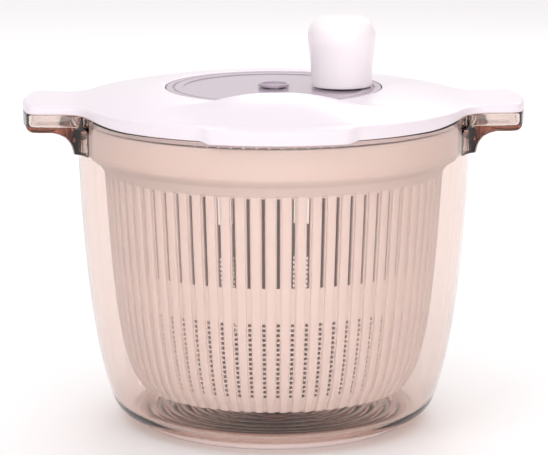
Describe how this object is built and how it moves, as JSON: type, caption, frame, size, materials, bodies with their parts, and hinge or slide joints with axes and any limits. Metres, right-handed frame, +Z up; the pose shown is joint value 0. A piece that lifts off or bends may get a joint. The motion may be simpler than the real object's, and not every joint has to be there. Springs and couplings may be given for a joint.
{
  "type": "salad spinner",
  "caption": "Hand-cranked salad spinner: clear eared bowl, slotted white basket and white lid with a geared crank disc, knob and pour lip.",
  "frame": {"origin": "on the turning axis, at the surface that the bowl stands on", "axes": "+Z up along the turning axis, the pour lip points to -Y, the two ears lie along X and the knob stands on +X"},
  "size_m": [0.278, 0.222, 0.226],
  "materials": {
    "clear_bowl": "clear moulded styrene-acrylonitrile, polished",
    "base_grip": "translucent soft elastomer, satin",
    "basket_white": "warm white polypropylene, satin",
    "lid_white": "white ABS, semi-gloss",
    "smoky_disc": "smoky clear plastic, polished",
    "knob_white": "white ABS, gloss",
    "acetal": "natural acetal, smooth",
    "steel": "plain stainless screws"
  },
  "bodies": {
    "bowl": {"outer_bowl": "clear_bowl", "base_ring": "base_grip"},
    "pivot": {"pivot_bush": "acetal"},
    "basket": {"basket": "basket_white"},
    "lid": {"lid_shell": "lid_white", "shaft_bush": "acetal", "planet_screw_1": "steel", "planet_screw_2": "steel", "planet_screw_3": "steel"},
    "planet_1": {"planet_gear_1": "acetal"},
    "planet_2": {"planet_gear_2": "acetal"},
    "planet_3": {"planet_gear_3": "acetal"},
    "drive": {"sun_gear": "acetal", "drive_plate": "lid_white", "drive_washer": "steel", "drive_screw": "steel", "centre_screw": "steel"},
    "crank": {"crank_disc": "smoky_disc", "ring_gear": "acetal", "ring_screw_1": "steel", "ring_screw_2": "steel", "ring_screw_3": "steel", "centre_cap": "smoky_disc", "knob_spindle": "acetal", "spindle_screw": "steel"},
    "knob": {"knob": "knob_white"}
  },
  "joints": [
    {"name": "lid_lift", "type": "slide", "parent": "bowl", "child": "lid", "axis": [0, 0, 1], "range_m": [0, 0.34]},
    {"name": "crank_spin", "type": "hinge", "parent": "lid", "child": "crank", "pos_m": [0, 0, 0.1855], "axis": [0, 0, 1], "continuous": true},
    {"name": "knob_spin", "type": "hinge", "parent": "crank", "child": "knob", "pos_m": [0.0377, 0, 0.2], "axis": [0, 0, 1], "continuous": true},
    {"name": "planet_spin_1", "type": "hinge", "parent": "lid", "child": "planet_1", "pos_m": [0.02625, 0, 0.177], "axis": [0, 0, 1], "continuous": true},
    {"name": "planet_spin_2", "type": "hinge", "parent": "lid", "child": "planet_2", "pos_m": [-0.01312, 0.02273, 0.177], "axis": [0, 0, 1], "continuous": true},
    {"name": "planet_spin_3", "type": "hinge", "parent": "lid", "child": "planet_3", "pos_m": [-0.01312, -0.02273, 0.177], "axis": [0, 0, 1], "continuous": true},
    {"name": "drive_spin", "type": "hinge", "parent": "lid", "child": "drive", "pos_m": [0, 0, 0.172], "axis": [0, 0, 1], "continuous": true},
    {"name": "basket_spin", "type": "hinge", "parent": "bowl", "child": "pivot", "pos_m": [0, 0, 0.022], "axis": [0, 0, 1], "continuous": true},
    {"name": "basket_lift", "type": "slide", "parent": "pivot", "child": "basket", "axis": [0, 0, 1], "range_m": [0, 0.17]}
  ],
  "couplings": [
    {"joint": "planet_spin_1", "follows": "crank_spin", "ratio": 2.6667},
    {"joint": "planet_spin_2", "follows": "crank_spin", "ratio": 2.6667},
    {"joint": "planet_spin_3", "follows": "crank_spin", "ratio": 2.6667},
    {"joint": "drive_spin", "follows": "crank_spin", "ratio": -4},
    {"joint": "basket_spin", "follows": "crank_spin", "ratio": -4},
    {"joint": "basket_lift", "follows": "lid_lift", "ratio": 0.5}
  ]
}
